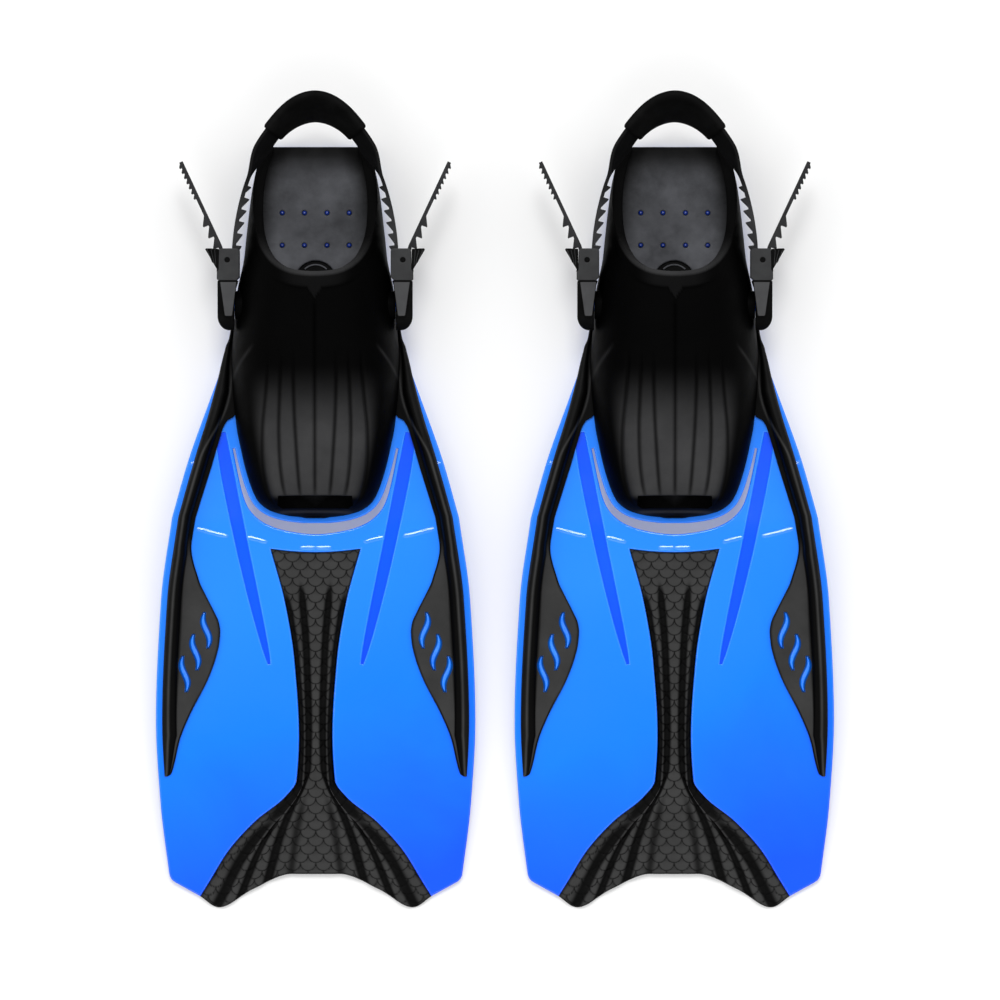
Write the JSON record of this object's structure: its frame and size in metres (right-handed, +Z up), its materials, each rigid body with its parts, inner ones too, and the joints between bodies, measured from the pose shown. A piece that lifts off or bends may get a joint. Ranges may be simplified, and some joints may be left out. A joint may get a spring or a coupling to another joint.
{
  "type": "swim fins",
  "caption": "Open-heel snorkel fins side by side: drooped blades with a fluted tail insert, rubber foot pockets, and toothed heel straps in swinging ratchet buckles.",
  "frame": {"origin": "centre of the pair's box, on the floor that both fins lie on", "axes": "+Z up, +Y from the blade tips to the heel straps, +X from the left fin to the right fin"},
  "size_m": [0.432, 0.5202, 0.0799],
  "materials": {
    "blade_plastic": "glossy moulded blue plastic",
    "black_rubber": "satin black moulded rubber",
    "footbed_rubber": "matt dark grey rubber",
    "strap_rubber": "matt black rubber",
    "buckle_plastic": "satin grey-black plastic",
    "steel": "plain stainless steel"
  },
  "bodies": {
    "left_fin": {"left_fin_blade": "blade_plastic", "left_fin_tail_insert": "black_rubber", "left_fin_foot_pocket": "black_rubber", "left_fin_footbed": "footbed_rubber", "left_fin_rail_left": "black_rubber", "left_fin_rail_right": "black_rubber", "left_fin_post_left": "blade_plastic", "left_fin_post_right": "blade_plastic"},
    "left_strap": {"left_fin_heel_strap": "strap_rubber", "left_fin_heel_pad": "strap_rubber", "left_fin_buckle_arm_left": "buckle_plastic", "left_fin_buckle_arm_right": "buckle_plastic", "left_fin_buckle_frame_left": "buckle_plastic", "left_fin_buckle_frame_right": "buckle_plastic", "left_fin_strap_bar_left": "buckle_plastic", "left_fin_strap_bar_right": "buckle_plastic", "left_fin_lever_pin_left": "steel", "left_fin_lever_pin_right": "steel", "left_fin_lever_spring_left": "steel", "left_fin_lever_spring_right": "steel"},
    "left_lever_left": {"left_fin_release_lever_left": "buckle_plastic"},
    "left_lever_right": {"left_fin_release_lever_right": "buckle_plastic"},
    "right_fin": {"right_fin_blade": "blade_plastic", "right_fin_tail_insert": "black_rubber", "right_fin_foot_pocket": "black_rubber", "right_fin_footbed": "footbed_rubber", "right_fin_rail_left": "black_rubber", "right_fin_rail_right": "black_rubber", "right_fin_post_left": "blade_plastic", "right_fin_post_right": "blade_plastic"},
    "right_strap": {"right_fin_heel_strap": "strap_rubber", "right_fin_heel_pad": "strap_rubber", "right_fin_buckle_arm_left": "buckle_plastic", "right_fin_buckle_arm_right": "buckle_plastic", "right_fin_buckle_frame_left": "buckle_plastic", "right_fin_buckle_frame_right": "buckle_plastic", "right_fin_strap_bar_left": "buckle_plastic", "right_fin_strap_bar_right": "buckle_plastic", "right_fin_lever_pin_left": "steel", "right_fin_lever_pin_right": "steel", "right_fin_lever_spring_left": "steel", "right_fin_lever_spring_right": "steel"},
    "right_lever_left": {"right_fin_release_lever_left": "buckle_plastic"},
    "right_lever_right": {"right_fin_release_lever_right": "buckle_plastic"}
  },
  "joints": [
    {"name": "right_fin_lift", "type": "slide", "parent": "left_fin", "child": "right_fin", "axis": [0, 0, 1], "range_m": [0, 0.15]},
    {"name": "left_strap_swing", "type": "hinge", "parent": "left_fin", "child": "left_strap", "pos_m": [-0.11425, 0.12375, 0.03778], "axis": [1, 0, 0], "range_deg": [-2, 85]},
    {"name": "left_lever_left_release", "type": "hinge", "parent": "left_strap", "child": "left_lever_left", "pos_m": [-0.17399, 0.14395, 0.03789], "axis": [0, -0.0057, 1], "range_deg": [0, 25], "stiffness_Nm_per_rad": 0.05, "springref_deg": -11.46},
    {"name": "left_lever_right_release", "type": "hinge", "parent": "left_strap", "child": "left_lever_right", "pos_m": [-0.05451, 0.14395, 0.03789], "axis": [0, 0.0057, -1], "range_deg": [0, 25], "stiffness_Nm_per_rad": 0.05, "springref_deg": -11.46},
    {"name": "right_strap_swing", "type": "hinge", "parent": "right_fin", "child": "right_strap", "pos_m": [0.11425, 0.12375, 0.03778], "axis": [1, 0, 0], "range_deg": [-2, 85]},
    {"name": "right_lever_left_release", "type": "hinge", "parent": "right_strap", "child": "right_lever_left", "pos_m": [0.05451, 0.14395, 0.03789], "axis": [0, -0.0057, 1], "range_deg": [0, 25], "stiffness_Nm_per_rad": 0.05, "springref_deg": -11.46},
    {"name": "right_lever_right_release", "type": "hinge", "parent": "right_strap", "child": "right_lever_right", "pos_m": [0.17399, 0.14395, 0.03789], "axis": [0, 0.0057, -1], "range_deg": [0, 25], "stiffness_Nm_per_rad": 0.05, "springref_deg": -11.46}
  ]
}
